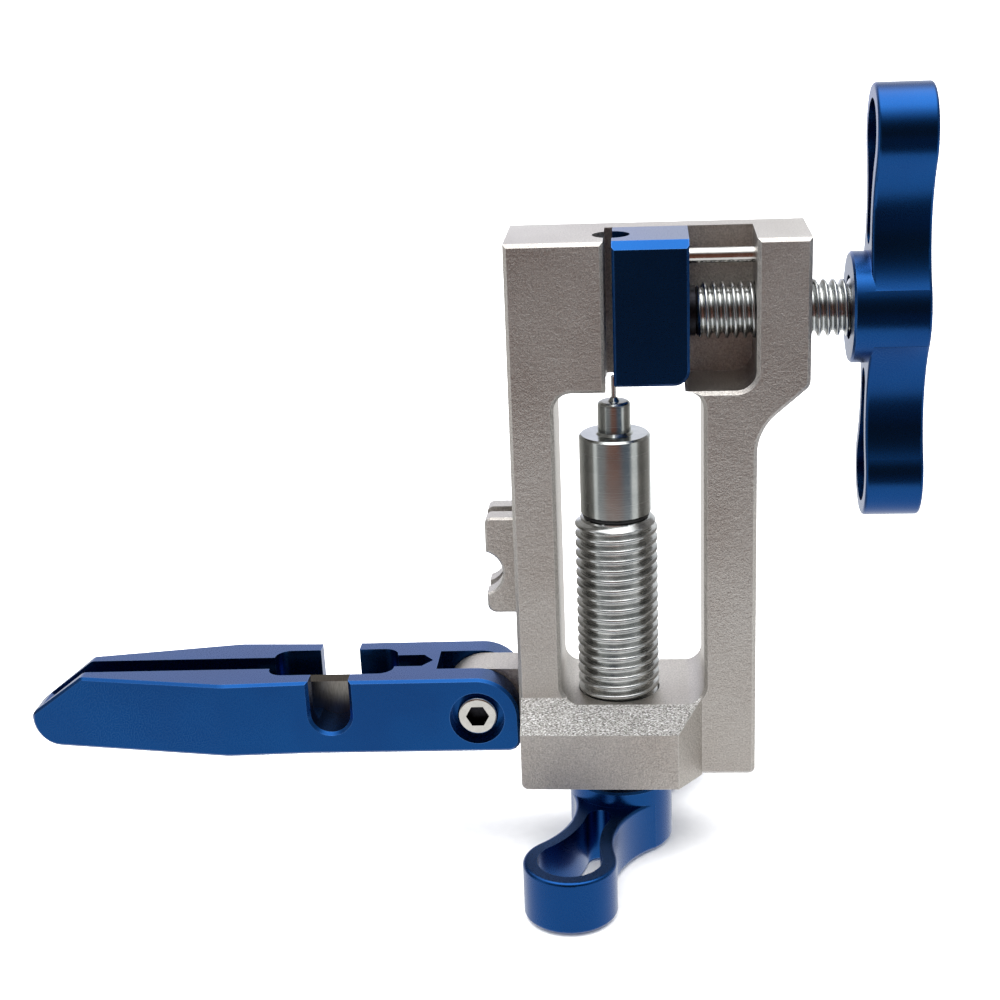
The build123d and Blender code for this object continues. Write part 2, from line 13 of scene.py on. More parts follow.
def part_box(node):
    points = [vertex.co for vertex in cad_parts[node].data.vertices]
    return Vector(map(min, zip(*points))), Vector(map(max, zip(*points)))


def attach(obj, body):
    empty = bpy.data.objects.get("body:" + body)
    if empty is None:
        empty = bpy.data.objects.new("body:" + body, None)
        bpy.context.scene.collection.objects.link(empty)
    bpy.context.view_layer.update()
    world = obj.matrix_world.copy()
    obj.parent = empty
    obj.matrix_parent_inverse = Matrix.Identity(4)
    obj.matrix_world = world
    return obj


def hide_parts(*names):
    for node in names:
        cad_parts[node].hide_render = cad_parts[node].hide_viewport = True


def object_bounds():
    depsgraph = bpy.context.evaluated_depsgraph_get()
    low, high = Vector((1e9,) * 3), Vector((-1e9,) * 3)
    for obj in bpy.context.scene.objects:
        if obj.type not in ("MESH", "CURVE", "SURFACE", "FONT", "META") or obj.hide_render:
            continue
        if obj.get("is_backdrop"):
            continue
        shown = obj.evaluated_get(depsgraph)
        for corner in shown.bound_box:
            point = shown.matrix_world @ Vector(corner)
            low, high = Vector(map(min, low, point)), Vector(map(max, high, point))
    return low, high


MM = 0.001


# ---------------------------------------------------------------- materials

def to_linear(hex_colour):
    """An sRGB hex colour as linear RGBA."""
    parts = [int(hex_colour[i:i + 2], 16) / 255 for i in (1, 3, 5)]
    return tuple(p / 12.92 if p <= 0.04045 else ((p + 0.055) / 1.055) ** 2.4 for p in parts) + (1.0,)


def add_node(tree, kind, settings=None, **inputs):
    """Adds a node, sets its properties, and fills its inputs with values or links."""
    node = tree.nodes.new(kind)
    for key, value in (settings or {}).items():
        setattr(node, key, value)
    for key, value in inputs.items():
        name = key.replace("_", " ")
        socket = node.inputs[int(key[1:])] if key[1:].isdigit() else node.inputs[name]
        if isinstance(value, bpy.types.NodeSocket):
            tree.links.new(value, socket)
        else:
            socket.default_value = value
    return node


def colour_steps(node, steps):
    """Sets a colour ramp from (position, colour) pairs."""
    ramp = node.color_ramp
    while len(ramp.elements) < len(steps):
        ramp.elements.new(0.5)
    for element, (place, colour) in zip(ramp.elements, steps):
        element.position = place
        element.color = colour if isinstance(colour, tuple) else (colour, colour, colour, 1.0)


def start_material(name):
    """An empty material with its shader, and coordinates in millimetres."""
    material = bpy.data.materials.new(name)
    material.use_nodes = True
    tree = material.node_tree
    tree.nodes.clear()
    shader = add_node(tree, "ShaderNodeBsdfPrincipled")
    output = add_node(tree, "ShaderNodeOutputMaterial")
    tree.links.new(shader.outputs["BSDF"], output.inputs["Surface"])
    place = add_node(tree, "ShaderNodeTexCoord")
    in_mm = add_node(tree, "ShaderNodeVectorMath", {"operation": "SCALE"},
                     Vector=place.outputs["Object"], Scale=1 / MM)
    return material, tree, shader, in_mm.outputs["Vector"]


def rim_highlight(tree, radius_mm, low, high):
    """1 on rounded corners, where a highlight is painted, and 0 elsewhere, from how far a rounded normal
    leaves the flat one.
    """
    bevel = add_node(tree, "ShaderNodeBevel", {"samples": 4}, Radius=radius_mm * MM)
    flat = add_node(tree, "ShaderNodeNewGeometry")
    meet = add_node(tree, "ShaderNodeVectorMath", {"operation": "DOT_PRODUCT"},
                    n0=bevel.outputs["Normal"], n1=flat.outputs["Normal"])
    return add_node(tree, "ShaderNodeMapRange", None, Value=meet.outputs["Value"],
                    From_Min=high, From_Max=low, To_Min=0.0, To_Max=1.0).outputs["Result"]


def bead_blasted_aluminium():
    """Milled aluminium, blasted with glass beads and clear anodised.

    A dull, even metal with fine sparkle: each bead leaves a dent about 0.1 mm wide. The dents are
    drawn about twice that size so that they show. Handling leaves faint cloudy patches 20 mm
    across, and a highlight is painted on the edges as a paler colour.
    """
    material, tree, shader, mm = start_material("bead_blasted_aluminium")
    dents = add_node(tree, "ShaderNodeTexNoise", None, Vector=mm, Scale=4.5, Detail=3.0, Roughness=0.75)
    coarse = add_node(tree, "ShaderNodeTexNoise", None, Vector=mm, Scale=1.6, Detail=2.0, Roughness=0.6)
    clouds = add_node(tree, "ShaderNodeTexNoise", None, Vector=mm, Scale=0.05, Detail=3.0, Roughness=0.55)
    tint = add_node(tree, "ShaderNodeValToRGB", None, Fac=clouds.outputs["Fac"])
    colour_steps(tint, [(0.3, to_linear("#b7b0a9")), (0.7, to_linear("#cac6c0"))])
    speck = add_node(tree, "ShaderNodeMapRange", None, Value=dents.outputs["Fac"],
                     From_Min=0.35, From_Max=0.65, To_Min=0.72, To_Max=1.16)
    grey = add_node(tree, "ShaderNodeCombineXYZ", None, X=speck.outputs["Result"], Y=speck.outputs["Result"],
                    Z=speck.outputs["Result"])
    blasted = add_node(tree, "ShaderNodeMix", {"data_type": "RGBA", "blend_type": "MULTIPLY"},
                       n0=1.0, n6=tint.outputs["Color"], n7=grey.outputs["Vector"])
    # painted highlight: the base colour turns paler on the rounded edges
    rim_lit = rim_highlight(tree, 0.25, 0.75, 0.98)
    bright = add_node(tree, "ShaderNodeMix", {"data_type": "RGBA"}, n0=rim_lit,
                      n6=blasted.outputs[2], n7=to_linear("#e4e2de"))
    tree.links.new(bright.outputs[2], shader.inputs["Base Color"])
    rough = add_node(tree, "ShaderNodeMapRange", None, Value=clouds.outputs["Fac"],
                     From_Min=0.3, From_Max=0.7, To_Min=0.34, To_Max=0.42)
    tree.links.new(rough.outputs["Result"], shader.inputs["Roughness"])
    height = add_node(tree, "ShaderNodeMath", {"operation": "ADD"},
                      n0=dents.outputs["Fac"], n1=coarse.outputs["Fac"])
    bump = add_node(tree, "ShaderNodeBump", None,
                    Strength=0.8, Distance=0.10 * MM, Height=height.outputs["Value"])
    tree.links.new(bump.outputs["Normal"], shader.inputs["Normal"])
    shader.inputs["Metallic"].default_value = 1.0
    return material


def fly_cut_aluminium():
    """The base's sloping top, as the cutter left it: coarse and sparkling, with lines along X."""
    material, tree, shader, mm = start_material("fly_cut_aluminium")
    stretched = add_node(tree, "ShaderNodeVectorMath", {"operation": "MULTIPLY"}, n0=mm, n1=(1.5, 3.0, 3.0))
    streaks = add_node(tree, "ShaderNodeTexNoise", None, Vector=stretched.outputs["Vector"],
                       Scale=2.2, Detail=4.0, Roughness=0.8)
    tint = add_node(tree, "ShaderNodeValToRGB", None, Fac=streaks.outputs["Fac"])
    colour_steps(tint, [(0.36, to_linear("#3a3836")), (0.5, to_linear("#b4b1ac")),
                        (0.62, to_linear("#ffffff"))])
    tree.links.new(tint.outputs["Color"], shader.inputs["Base Color"])
    bump = add_node(tree, "ShaderNodeBump", None,
                    Strength=0.9, Distance=0.14 * MM, Height=streaks.outputs["Fac"])
    tree.links.new(bump.outputs["Normal"], shader.inputs["Normal"])
    shader.inputs["Metallic"].default_value = 1.0
    shader.inputs["Roughness"].default_value = 0.45
    return material


def blue_anodised_aluminium():
    """Aluminium, blasted fine and dyed blue in the anodising bath.

    The dye layer gives a deep blue metal, with a highlight painted on the rims as a paler, greyer
    blue. The blasted grain is about 0.05 mm, drawn three times as coarse so that it shows.
    """
    material, tree, shader, mm = start_material("blue_anodised_aluminium")
    grain = add_node(tree, "ShaderNodeTexNoise", None, Vector=mm, Scale=6.0, Detail=2.0, Roughness=0.7)
    clouds = add_node(tree, "ShaderNodeTexNoise", None, Vector=mm, Scale=0.07, Detail=3.0, Roughness=0.5)
    dye = add_node(tree, "ShaderNodeValToRGB", None, Fac=clouds.outputs["Fac"])
    colour_steps(dye, [(0.3, to_linear("#033c76")), (0.7, to_linear("#044480"))])
    # painted highlight: the rims take a pale blue in place of the dye
    rim_lit = rim_highlight(tree, 0.22, 0.72, 0.97)
    rim_highlight_share = add_node(tree, "ShaderNodeMath", {"operation": "MULTIPLY"}, n0=rim_lit, n1=0.55)
    rim = add_node(tree, "ShaderNodeMix", {"data_type": "RGBA"}, n0=rim_highlight_share.outputs["Value"],
                   n6=dye.outputs["Color"], n7=to_linear("#5f8fd0"))
    tree.links.new(rim.outputs[2], shader.inputs["Base Color"])
    rough = add_node(tree, "ShaderNodeMapRange", None, Value=grain.outputs["Fac"],
                     From_Min=0.3, From_Max=0.7, To_Min=0.25, To_Max=0.32)
    tree.links.new(rough.outputs["Result"], shader.inputs["Roughness"])
    bump = add_node(tree, "ShaderNodeBump", None,
                    Strength=0.12, Distance=0.05 * MM, Height=grain.outputs["Fac"])
    tree.links.new(bump.outputs["Normal"], shader.inputs["Normal"])
    shader.inputs["Metallic"].default_value = 1.0
    shader.inputs["Coat Weight"].default_value = 0.15
    shader.inputs["Coat IOR"].default_value = 1.6
    shader.inputs["Coat Roughness"].default_value = 0.25
    return material


def turned_steel(name, axis, tint_low, tint_high, roughness, line_mm):
    """Steel turned in a lathe and nickel plated: fine tool lines that run round the axis.

    The lines stretch each highlight along the axis. They are drawn at line_mm apart, coarser than
    the real feed marks, so that they show.
    """
    material, tree, shader, mm = start_material(name)
    along = add_node(tree, "ShaderNodeSeparateXYZ", None, Vector=mm)
    lines = add_node(tree, "ShaderNodeTexNoise", {"noise_dimensions": "1D"}, W=along.outputs[axis],
                     Scale=1.0 / line_mm, Detail=3.0, Roughness=0.8)
    smudge = add_node(tree, "ShaderNodeTexNoise", None, Vector=mm, Scale=0.35, Detail=3.0, Roughness=0.6)
    tint = add_node(tree, "ShaderNodeValToRGB", None, Fac=smudge.outputs["Fac"])
    colour_steps(tint, [(0.35, to_linear(tint_low)), (0.65, to_linear(tint_high))])
    tree.links.new(tint.outputs["Color"], shader.inputs["Base Color"])
    rough = add_node(tree, "ShaderNodeMapRange", None, Value=lines.outputs["Fac"],
                     From_Min=0.3, From_Max=0.7, To_Min=roughness - 0.05, To_Max=roughness + 0.08)
    tree.links.new(rough.outputs["Result"], shader.inputs["Roughness"])
    bump = add_node(tree, "ShaderNodeBump", None,
                    Strength=0.1, Distance=0.01 * MM, Height=lines.outputs["Fac"])
    tree.links.new(bump.outputs["Normal"], shader.inputs["Normal"])
    shader.inputs["Metallic"].default_value = 1.0
    return material


def bright_nickel():
    """Steel plated with bright nickel: a clean mirror with faint handling marks."""
    material, tree, shader, mm = start_material("bright_nickel")
    marks = add_node(tree, "ShaderNodeTexNoise", None, Vector=mm, Scale=0.8, Detail=4.0, Roughness=0.7)
    rough = add_node(tree, "ShaderNodeMapRange", None, Value=marks.outputs["Fac"],
                     From_Min=0.35, From_Max=0.7, To_Min=0.10, To_Max=0.24)
    tint = add_node(tree, "ShaderNodeValToRGB", None, Fac=marks.outputs["Fac"])
    colour_steps(tint, [(0.3, to_linear("#b8b6b1")), (0.7, to_linear("#cecbc6"))])
    tree.links.new(tint.outputs["Color"], shader.inputs["Base Color"])
    tree.links.new(rough.outputs["Result"], shader.inputs["Roughness"])
    shader.inputs["Metallic"].default_value = 1.0
    return material


def ground_tool_steel(name, dark, pale, roughness):
    """Hardened tool steel ground on a wheel: grey, with parallel scratches across the edge."""
    material, tree, shader, mm = start_material(name)
    across = add_node(tree, "ShaderNodeVectorMath", {"operation": "MULTIPLY"}, n0=mm, n1=(9.0, 1.0, 0.6))
    scratches = add_node(tree, "ShaderNodeTexNoise", None, Vector=across.outputs["Vector"],
                         Scale=1.3, Detail=4.0, Roughness=0.75)
    tint = add_node(tree, "ShaderNodeValToRGB", None, Fac=scratches.outputs["Fac"])
    colour_steps(tint, [(0.3, to_linear(dark)), (0.7, to_linear(pale))])
    tree.links.new(tint.outputs["Color"], shader.inputs["Base Color"])
    bump = add_node(tree, "ShaderNodeBump", None,
                    Strength=0.3, Distance=0.02 * MM, Height=scratches.outputs["Fac"])
    tree.links.new(bump.outputs["Normal"], shader.inputs["Normal"])
    shader.inputs["Metallic"].default_value = 1.0
    shader.inputs["Roughness"].default_value = roughness
    return material


def black_oxide_steel():
    """Alloy steel blackened in a hot salt bath: near black, with a dull oily sheen."""
    material, tree, shader, mm = start_material("black_oxide_steel")
    mottle = add_node(tree, "ShaderNodeTexNoise", None, Vector=mm, Scale=2.5, Detail=3.0, Roughness=0.6)
    tint = add_node(tree, "ShaderNodeValToRGB", None, Fac=mottle.outputs["Fac"])
    colour_steps(tint, [(0.3, to_linear("#1d1d20")), (0.7, to_linear("#2c2c30"))])
    tree.links.new(tint.outputs["Color"], shader.inputs["Base Color"])
    shader.inputs["Metallic"].default_value = 1.0
    shader.inputs["Roughness"].default_value = 0.38
    return material


def nitrile_rubber():
    """A moulded nitrile O-ring: black and slightly shiny, with a bloom of dust."""
    material, tree, shader, mm = start_material("nitrile_rubber")
    bloom = add_node(tree, "ShaderNodeTexNoise", None, Vector=mm, Scale=3.0, Detail=3.0, Roughness=0.6)
    tint = add_node(tree, "ShaderNodeValToRGB", None, Fac=bloom.outputs["Fac"])
    colour_steps(tint, [(0.4, to_linear("#0d0d0e")), (0.7, to_linear("#1b1b1d"))])
    tree.links.new(tint.outputs["Color"], shader.inputs["Base Color"])
    shader.inputs["Roughness"].default_value = 0.45
    return material


def machined_bronze():
    """Bronze washer stock, punched and tumbled: warm, soft shine."""
    material, tree, shader, mm = start_material("machined_bronze")
    tarnish = add_node(tree, "ShaderNodeTexNoise", None, Vector=mm, Scale=1.2, Detail=3.0, Roughness=0.6)
    tint = add_node(tree, "ShaderNodeValToRGB", None, Fac=tarnish.outputs["Fac"])
    colour_steps(tint, [(0.3, to_linear("#9c7a4a")), (0.7, to_linear("#c29c62"))])
    tree.links.new(tint.outputs["Color"], shader.inputs["Base Color"])
    shader.inputs["Metallic"].default_value = 1.0
    shader.inputs["Roughness"].default_value = 0.34
    return material


def studio_paper():
    """Matt white background paper, with a very faint tooth."""
    material, tree, shader, mm = start_material("studio_paper")
    tooth = add_node(tree, "ShaderNodeTexNoise", None, Vector=mm, Scale=0.6, Detail=2.0, Roughness=0.5)
    tint = add_node(tree, "ShaderNodeValToRGB", None, Fac=tooth.outputs["Fac"])
    colour_steps(tint, [(0.3, to_linear("#f4f4f4")), (0.7, to_linear("#f8f8f8"))])
    tree.links.new(tint.outputs["Color"], shader.inputs["Base Color"])
    shader.inputs["Roughness"].default_value = 0.9
    shader.inputs["Specular IOR Level"].default_value = 0.1
    return material


# ---------------------------------------------------------------- geometry

# corners nearer than the first, in metres, are one corner; those nearer to a screw's end than the
# second are on it; an edge that turns by more degrees than the third is drawn sharp
SAME_PLACE, ON_THE_RIM, SHARP_EDGE = 1e-7, 1e-6, 48


def mesh_object(name, bm, material):
    """Turns a bmesh into an object at the origin, smooth but for its sharp edges."""
    bmesh.ops.recalc_face_normals(bm, faces=bm.faces)
    mesh = bpy.data.meshes.new(name)
    bm.to_mesh(mesh)
    bm.free()
    piece = bpy.data.objects.new(name, mesh)
    bpy.context.scene.collection.objects.link(piece)
    mesh.materials.append(material)
    for face in mesh.polygons:
        face.use_smooth = True
    mesh.set_sharp_from_angle(angle=math.radians(SHARP_EDGE))
    return piece


def second_finish(node, material, chosen):
    """Gives the faces that chosen() picks, by centre and normal, a finish of their own."""
    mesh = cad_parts[node].data
    mesh.materials.append(material)
    for face in mesh.polygons:
        if chosen(face.center / MM, face.normal):
            face.material_index = 1


# the share of half a pitch that the crest, and then the crest and the flank together, take up
CREST_HALF, FLANK_END = 0.22, 0.84
# how deep a thread is cut, as a share of its pitch, and how much of its flank's rise is straight
THREAD_DEPTH, STRAIGHT_SHARE = 0.6, 0.6


def thread_height(turn):
    """How far the thread stands out, 0 at the root to 1 on the crest, for a place within one pitch.

    The flank is mostly straight and partly eased, so that the crest and the root look rounded.
    """
    from_crest = abs(2 * (turn % 1.0) - 1)
    flank = min(max((FLANK_END - from_crest) / (FLANK_END - CREST_HALF), 0.0), 1.0)
    eased = flank * flank * (3 - 2 * flank)
    return STRAIGHT_SHARE * flank + (1 - STRAIGHT_SHARE) * eased


def cut_screw(name, material, major, pitch, low, high, below, above, sides=72, steps=12):
    """A right-hand screw along Z, with a real helical thread from low to high.

    major is the crest's radius. below and above are (radius, height) points that carry the outline
    on from each end of the thread to the axis, so that the piece is one closed skin. A turn is
    drawn with the given number of sides, and a pitch with the given number of steps. All lengths
    are in metres.
    """
    root = major - THREAD_DEPTH * pitch
    rows = []
    count = int(round((high - low) / pitch * steps)) + steps
    for k in range(-steps, count + steps + 1):
        row = []
        for i in range(sides):
            share = i / sides
            z = low + pitch * (k / steps + share)
            stand = thread_height(k / steps) * (major - root)
            place = min(max(z, low), high)
            room = min(place - low, high - place)
            row.append((root + min(stand, room), math.tau * share, place))
        rows.append(row)
    bm = bmesh.new()
    helix = [[bm.verts.new((r * math.cos(a), r * math.sin(a), z)) for r, a, z in row] for row in rows]
    for lower, upper in zip(helix, helix[1:]):
        for i in range(sides - 1):
            bm.faces.new((lower[i], lower[i + 1], upper[i + 1], upper[i]))
    # past the last side the helix has climbed one pitch, so that side joins a later row
    for k in range(len(helix) - steps - 1):
        lower, upper = helix[k], helix[k + 1]
        later_lower, later_upper = helix[k + steps], helix[k + steps + 1]
        bm.faces.new((lower[-1], later_lower[0], later_upper[0], upper[-1]))
    bmesh.ops.remove_doubles(bm, verts=bm.verts, dist=SAME_PLACE)
    bmesh.ops.dissolve_degenerate(bm, edges=bm.edges, dist=SAME_PLACE)
    for z_end, outline in ((low, below), (high, above)):
        rim = [v for v in bm.verts if v.is_boundary and abs(v.co.z - z_end) < ON_THE_RIM]
        rim.sort(key=lambda v: math.atan2(v.co.y, v.co.x))
        for radius, z in outline:
            ring = []
            for v in rim:
                length = math.hypot(v.co.x, v.co.y)
                ring.append(bm.verts.new((v.co.x * radius / length, v.co.y * radius / length, z)))
            for k in range(len(rim)):
                bm.faces.new((rim[k - 1], rim[k], ring[k], ring[k - 1]))
            rim = ring
        bm.faces.new(rim)
    return mesh_object(name, bm, material)


# ---------------------------------------------------------------- build

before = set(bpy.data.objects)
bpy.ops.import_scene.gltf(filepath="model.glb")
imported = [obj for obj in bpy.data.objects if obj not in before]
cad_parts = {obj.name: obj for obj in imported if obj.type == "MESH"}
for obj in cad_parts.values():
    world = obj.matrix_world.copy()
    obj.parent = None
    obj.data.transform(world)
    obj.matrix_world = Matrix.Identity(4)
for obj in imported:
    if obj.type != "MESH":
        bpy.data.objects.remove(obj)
cad_low, cad_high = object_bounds()

blasted = bead_blasted_aluminium()
fly_cut = fly_cut_aluminium()
blue = blue_anodised_aluminium()
screw_steel_z = turned_steel("turned_screw_steel", "Z", "#a9abaa", "#c9cac8", 0.22, 0.12)
screw_steel_x = turned_steel("turned_clamp_screw_steel", "X", "#a9abaa", "#c9cac8", 0.22, 0.12)
pusher_steel = turned_steel("turned_pusher_steel", "Z", "#a6aaa9", "#b5b8b6", 0.20, 0.10)
nickel = bright_nickel()
tool_steel = ground_tool_steel("ground_blade_steel", "#6e6a64", "#95918a", 0.32)
bevel_steel = ground_tool_steel("ground_bevel_steel", "#3b3733", "#57524b", 0.40)
black_steel = black_oxide_steel()
rubber = nitrile_rubber()
bronze = machined_bronze()

FINISHES = {
    "frame_body": blasted,
    "clamp_jaw": blue,
    "jaw_guide_pin": nickel,
    "jaw_retaining_screw": black_steel,
    "clamp_screw": screw_steel_x,
    "clamp_thrust_washer": black_steel,
    "clamp_knob": blue,
    "clamp_knob_set_screw": black_steel,
    "press_screw": screw_steel_z,
    "press_pusher": pusher_steel,
    "barb_pin": nickel,
    "pusher_snap_ring": nickel,
    "pusher_seal": rubber,
    "press_knob": blue,
    "press_knob_set_screw": black_steel,
    "cutter_arm": blue,
    "cutter_blade": tool_steel,
    "blade_set_screws": black_steel,
    "pivot_bolt": nickel,
    "pivot_nut": nickel,
    "pivot_washers": bronze,
}
for node, material in FINISHES.items():
    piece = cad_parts[node]
    piece.data.materials.clear()
    piece.data.materials.append(material)

# the base's sloping top, the blade's ground bevel, and the bolt's hex socket, darkened as painted shade, in
# millimetres
FRAME_FRONT = -6.0
SOCKET_RADIUS, SOCKET_TOP, SOCKET_BOTTOM = 1.74, 0.1, 3.0
second_finish("frame_body", fly_cut, lambda place, up: place.y < FRAME_FRONT and up.z > 0.3 and up.y < -0.3)
second_finish("cutter_blade", bevel_steel, lambda place, up: up.z > 0.2)
low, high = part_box("pivot_bolt")
axis_x, axis_z = (low.x + high.x) / 2 / MM, (low.z + high.z) / 2 / MM
head_face = low.y / MM
# painted shade: the faces inside the bolt's hex socket get the near-black oxide finish
second_finish("pivot_bolt", black_steel, lambda place, up: (
    math.hypot(place.x - axis_x, place.z - axis_z) < SOCKET_RADIUS
    and SOCKET_TOP < place.y - head_face < SOCKET_BOTTOM))

# both screws end in a plain spigot in their knob's hub
SPIGOT_RADIUS = 3.0 * MM

# the press screw: M12 x 1.5, with a blind bore at the top for the pusher's stem and its snap ring
PRESS_PITCH = 1.5 * MM
STEM_BORE_RADIUS, STEM_BORE_BOTTOM = 2.65 * MM, -49.1 * MM
GROOVE_RADIUS, GROOVE_TOP, GROOVE_BOTTOM = 3.3 * MM, -45.8 * MM, -46.6 * MM
HUB_RECESS = 0.75 * MM
low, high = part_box("press_screw")
thread_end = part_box("press_knob")[1].z - HUB_RECESS
press_thread = cut_screw(
    "press_screw_thread", screw_steel_z, (high.x - low.x) / 2, PRESS_PITCH, thread_end, high.z,
    below=[(SPIGOT_RADIUS, thread_end), (SPIGOT_RADIUS, low.z)],
    above=[(STEM_BORE_RADIUS, high.z), (STEM_BORE_RADIUS, GROOVE_TOP), (GROOVE_RADIUS, GROOVE_TOP),
           (GROOVE_RADIUS, GROOVE_BOTTOM), (STEM_BORE_RADIUS, GROOVE_BOTTOM),
           (STEM_BORE_RADIUS, STEM_BORE_BOTTOM)])
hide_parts("press_screw")
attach(press_thread, "press_spindle")

# the clamp screw: M8 x 1.25, made along Z and then laid along X, with a journal that turns in the
# jaw and a neck in it for the retaining screw's point
CLAMP_PITCH = 1.25 * MM
JOURNAL_RADIUS = 2.75 * MM
NECK_RADIUS, NECK_START, NECK_END = 2.0 * MM, 5.8 * MM, 7.4 * MM
CLAMP_THREAD_END = 33.4 * MM
low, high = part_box("clamp_screw")
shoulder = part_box("clamp_thrust_washer")[1].x + 0.02 * MM
clamp_thread = cut_screw(
    "clamp_screw_thread", screw_steel_x, (high.y - low.y) / 2, CLAMP_PITCH, shoulder, CLAMP_THREAD_END,
    below=[(JOURNAL_RADIUS, shoulder), (JOURNAL_RADIUS, NECK_END), (NECK_RADIUS, NECK_END),
           (NECK_RADIUS, NECK_START), (JOURNAL_RADIUS, NECK_START), (JOURNAL_RADIUS, low.x)],
    above=[(SPIGOT_RADIUS, CLAMP_THREAD_END), (SPIGOT_RADIUS, high.x)], sides=64)
lay_along_x = Matrix.Rotation(math.pi / 2, 4, "Y")
clamp_thread.data.transform(Matrix.Translation((0, 0, (low.z + high.z) / 2)) @ lay_along_x)
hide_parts("clamp_screw")
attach(clamp_thread, "clamp_spindle")

# the floor, just under the press knob; the metal mirrors the world's own lower half instead of it
FLOOR_HALF_WIDTH = 12.0
FLOOR_GAP = 0.5 * MM
floor_bm = bmesh.new()
bmesh.ops.create_grid(floor_bm, x_segments=8, y_segments=8, size=FLOOR_HALF_WIDTH)
bmesh.ops.translate(floor_bm, verts=floor_bm.verts, vec=(0, 0, cad_low.z - FLOOR_GAP))
floor = mesh_object("floor", floor_bm, studio_paper())
floor.visible_glossy = False
# the tool stands on its press knob, so the floor keeps to the knob as the screw feeds
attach(floor, "pusher")
floor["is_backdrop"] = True


def dark_card():
    """A felt-covered card: warm brown in the middle, grey to the left, blue-grey to the right."""
    material, tree, shader, mm = start_material("dark_card")
    place = add_node(tree, "ShaderNodeSeparateXYZ", None, Vector=mm)
    across = add_node(tree, "ShaderNodeMapRange", None, Value=place.outputs["X"],
                      From_Min=-200.0, From_Max=200.0, To_Min=0.0, To_Max=1.0)
    tint = add_node(tree, "ShaderNodeValToRGB", None, Fac=across.outputs["Result"])
    colour_steps(tint, [(0.24, to_linear("#5a5b5c")), (0.31, to_linear("#56382d")),
                        (0.64, to_linear("#4e3027")), (0.72, to_linear("#343d47"))])
    tree.links.new(tint.outputs["Color"], shader.inputs["Base Color"])
    shader.inputs["Roughness"].default_value = 1.0
    shader.inputs["Specular IOR Level"].default_value = 0.0
    return material


# a dark card, part of a ring, lies on the floor in front, where only the metal sees it: it darkens the
# upright faces; its left and right ends are bearings in degrees, 0 in front
CARD_NEAR, CARD_FAR = 138 * MM, 900 * MM
CARD_LEFT, CARD_RIGHT, CARD_STEPS = -58, 54, 16
card_height = cad_low.z + 0.5 * MM
card_bm = bmesh.new()
edges = []
for step in range(CARD_STEPS + 1):
    bearing = math.radians(CARD_LEFT + (CARD_RIGHT - CARD_LEFT) * step / CARD_STEPS)
    across, along = math.sin(bearing), -math.cos(bearing)
    edges.append([card_bm.verts.new((r * across, r * along, card_height)) for r in (CARD_NEAR, CARD_FAR)])
for left, right in zip(edges, edges[1:]):
    card_bm.faces.new((left[0], right[0], right[1], left[1]))
card = mesh_object("dark_card", card_bm, dark_card())
card.visible_camera = False
card.visible_diffuse = False
card.visible_shadow = False
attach(card, "pusher")
card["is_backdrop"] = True


def height_of(degrees):
    """Where an elevation falls on a ramp that runs from straight down to straight up."""
    return (math.sin(math.radians(degrees)) + 1) / 2


def bearing_of(degrees):
    """Where a bearing falls on a ramp that runs once round the room; 0 is in front, 90 to the right."""
    return degrees / 360 + 0.5


# what stands round the tool at eye level: a dark warm gap in front, grey walls, pale ones behind
EYE_LEVEL = [
    (bearing_of(-180), to_linear("#9596a0")),
    (bearing_of(-130), to_linear("#898b8e")),
    (bearing_of(-118), to_linear("#36393c")),
    (bearing_of(-95), to_linear("#36393c")),
    (bearing_of(-85), to_linear("#7d7e7f")),
    (bearing_of(-62), to_linear("#7d7e7f")),
    (bearing_of(-52), to_linear("#3c3d3e")),
    (bearing_of(-32), to_linear("#3f3f40")),
    (bearing_of(-24), to_linear("#38241c")),
    (bearing_of(16), to_linear("#322019")),
    (bearing_of(24), to_linear("#24292f")),
    (bearing_of(40), to_linear("#2a2f36")),
    (bearing_of(54), to_linear("#626465")),
    (bearing_of(90), to_linear("#545658")),
    (bearing_of(120), to_linear("#7b7d7f")),
    (bearing_of(180), to_linear("#959698")),
]
# how much of that shows at each elevation: all of it near the horizon, none above or below
EYE_LEVEL_SHOWS = [
    (height_of(-10), 0.0),
    (height_of(-5), 1.0),
    (height_of(24), 1.0),
    (height_of(34), 0.5),
    (height_of(46), 0.0),
]
# the rest of the room by elevation: a pale floor, dim upper walls, and a wide white softbox overhead
FLOOR_AND_CEILING = [
    (height_of(-90), to_linear("#919396")),
    (height_of(-8), to_linear("#919190")),
    (height_of(20), to_linear("#46484b")),
    (height_of(34), to_linear("#56585b")),
    (height_of(46), to_linear("#898b8e")),
    (height_of(56), to_linear("#bcbdbf")),
    (height_of(68), to_linear("#fafafa")),
]


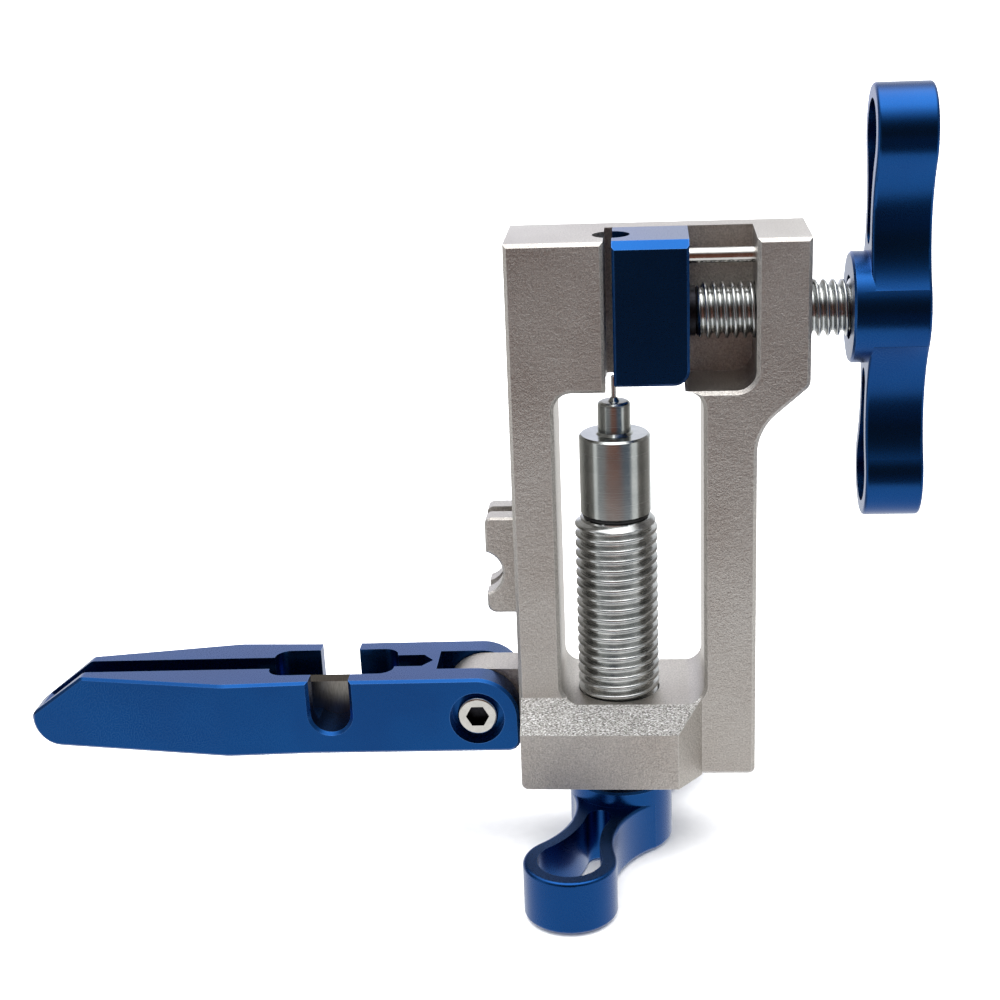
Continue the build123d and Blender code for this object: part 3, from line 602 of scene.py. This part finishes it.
def studio_world():
    """A pale room, seen in the metal: what each direction looks like, by bearing and elevation."""
    world = bpy.data.worlds.new("studio")
    bpy.context.scene.world = world
    world.use_nodes = True
    tree = world.node_tree
    tree.nodes.clear()
    direction = add_node(tree, "ShaderNodeTexCoord")
    parts = add_node(tree, "ShaderNodeSeparateXYZ", None, Vector=direction.outputs["Generated"])
    forward = add_node(tree, "ShaderNodeMath", {"operation": "MULTIPLY"}, n0=parts.outputs["Y"], n1=-1.0)
    bearing = add_node(tree, "ShaderNodeMath", {"operation": "ARCTAN2"},
                       n0=parts.outputs["X"], n1=forward.outputs["Value"])
    turn = add_node(tree, "ShaderNodeMapRange", None, Value=bearing.outputs["Value"],
                    From_Min=-math.pi, From_Max=math.pi, To_Min=0.0, To_Max=1.0)
    height = add_node(tree, "ShaderNodeMapRange", None, Value=parts.outputs["Z"],
                      From_Min=-1.0, From_Max=1.0, To_Min=0.0, To_Max=1.0)
    walls = add_node(tree, "ShaderNodeValToRGB", None, Fac=turn.outputs["Result"])
    colour_steps(walls, EYE_LEVEL)
    shows = add_node(tree, "ShaderNodeValToRGB", None, Fac=height.outputs["Result"])
    colour_steps(shows, EYE_LEVEL_SHOWS)
    rest = add_node(tree, "ShaderNodeValToRGB", None, Fac=height.outputs["Result"])
    colour_steps(rest, FLOOR_AND_CEILING)
    room = add_node(tree, "ShaderNodeMix", {"data_type": "RGBA"}, n0=shows.outputs["Color"],
                    n6=rest.outputs["Color"], n7=walls.outputs["Color"])
    light = add_node(tree, "ShaderNodeBackground", None, Color=room.outputs[2], Strength=4.0)
    # looked at directly, past the far edge of the floor, the room is a plain white backdrop
    ray = add_node(tree, "ShaderNodeLightPath")
    backdrop = add_node(tree, "ShaderNodeBackground", None, Color=to_linear("#ffffff"), Strength=1.0)
    seen = add_node(tree, "ShaderNodeMixShader", None, n0=ray.outputs["Is Camera Ray"],
                    n1=light.outputs["Background"], n2=backdrop.outputs["Background"])
    add_node(tree, "ShaderNodeOutputWorld", None, Surface=seen.outputs["Shader"])


def floor_light():
    """One very soft light from above for the floor; the metal mirrors only the room."""
    data = bpy.data.lights.new("overhead", "SUN")
    data.energy = 3.6
    data.angle = math.radians(120)
    light = bpy.data.objects.new("overhead", data)
    light.rotation_euler = (math.radians(8), math.radians(-6), 0)
    light.visible_glossy = False
    bpy.context.scene.collection.objects.link(light)


studio_world()
floor_light()


def camera():
    """The camera stands a little above the tool, and looks down on it."""
    data = bpy.data.cameras.new("camera")
    data.lens = 63.33
    data.sensor_width = 36.0
    data.clip_start = 0.01
    data.clip_end = 50.0
    eye = bpy.data.objects.new("camera", data)
    bpy.context.scene.collection.objects.link(eye)
    yaw, pitch, roll = (math.radians(a) for a in (5.08, -18.44, 2.34))
    turn = Matrix.Rotation(yaw, 3, "Z") @ Matrix.Rotation(pitch, 3, "X") @ Matrix.Rotation(roll, 3, "Y")
    right, look, up = (turn @ Vector(a) for a in ((1, 0, 0), (0, 1, 0), (0, 0, 1)))
    axes = Matrix((right, up, -look)).transposed().to_4x4()
    eye.matrix_world = Matrix.Translation((0.00467, -0.23984, 0.04223)) @ axes
    bpy.context.scene.camera = eye


camera()
bpy.context.scene.view_settings.view_transform = "Standard"

low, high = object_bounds()
